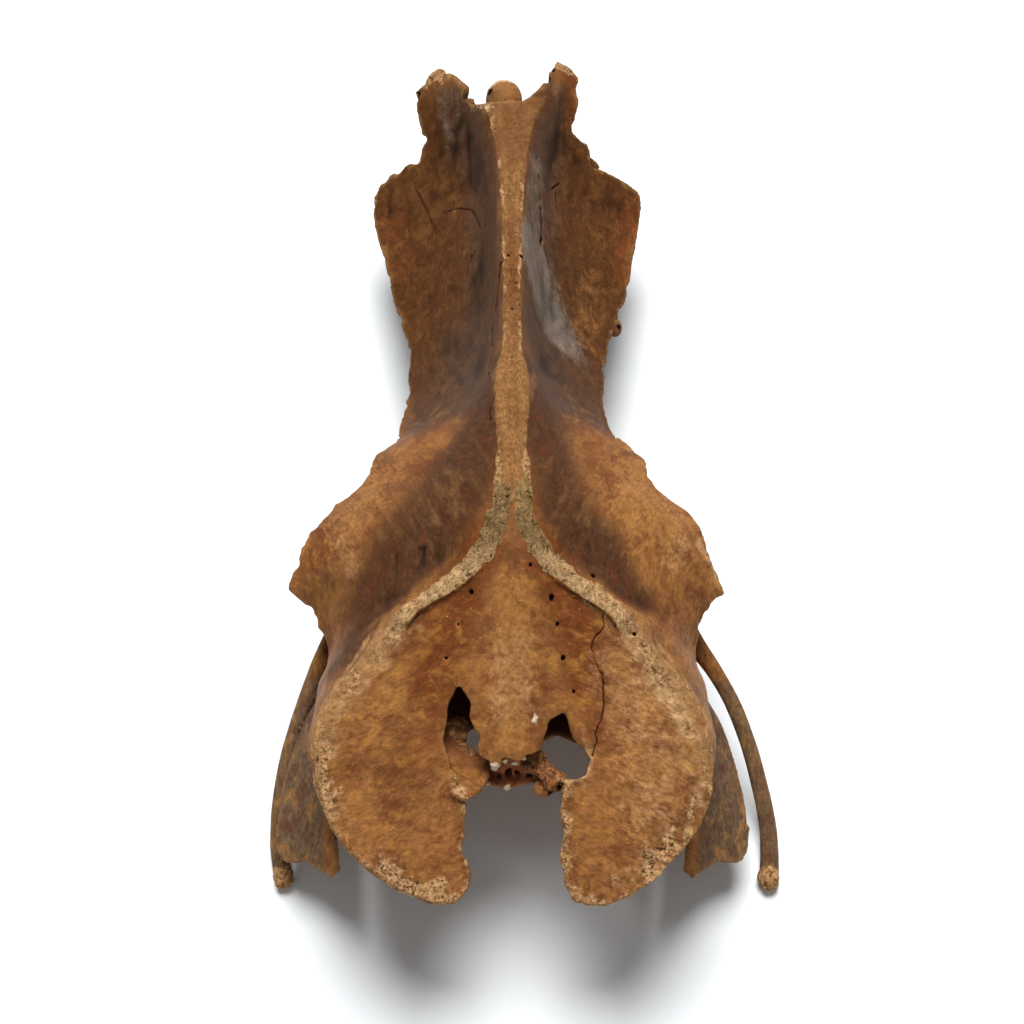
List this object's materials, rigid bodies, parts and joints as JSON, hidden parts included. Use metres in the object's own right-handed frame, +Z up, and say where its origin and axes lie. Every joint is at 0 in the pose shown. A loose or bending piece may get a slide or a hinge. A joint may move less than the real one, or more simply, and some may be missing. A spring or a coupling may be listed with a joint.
{
  "type": "moa pelvis",
  "caption": "Fused pelvis of a moa, a large flightless bird: a roof-like crest over the spine, a broad notched back plate, open hip sockets, and slender blades and rods trailing behind.",
  "frame": {"origin": "middle of the underside of the outer box, on the surface the bone rests on", "axes": "+Y to the bird's head, +X to its right, +Z up from the resting surface through its back"},
  "size_m": [0.2962, 0.5353, 0.2058],
  "materials": {
    "bone": "old brown bone, orange and dark stains, pale crumbling rims"
  },
  "bodies": {
    "root": {"pelvis": "bone"}
  },
  "joints": []
}
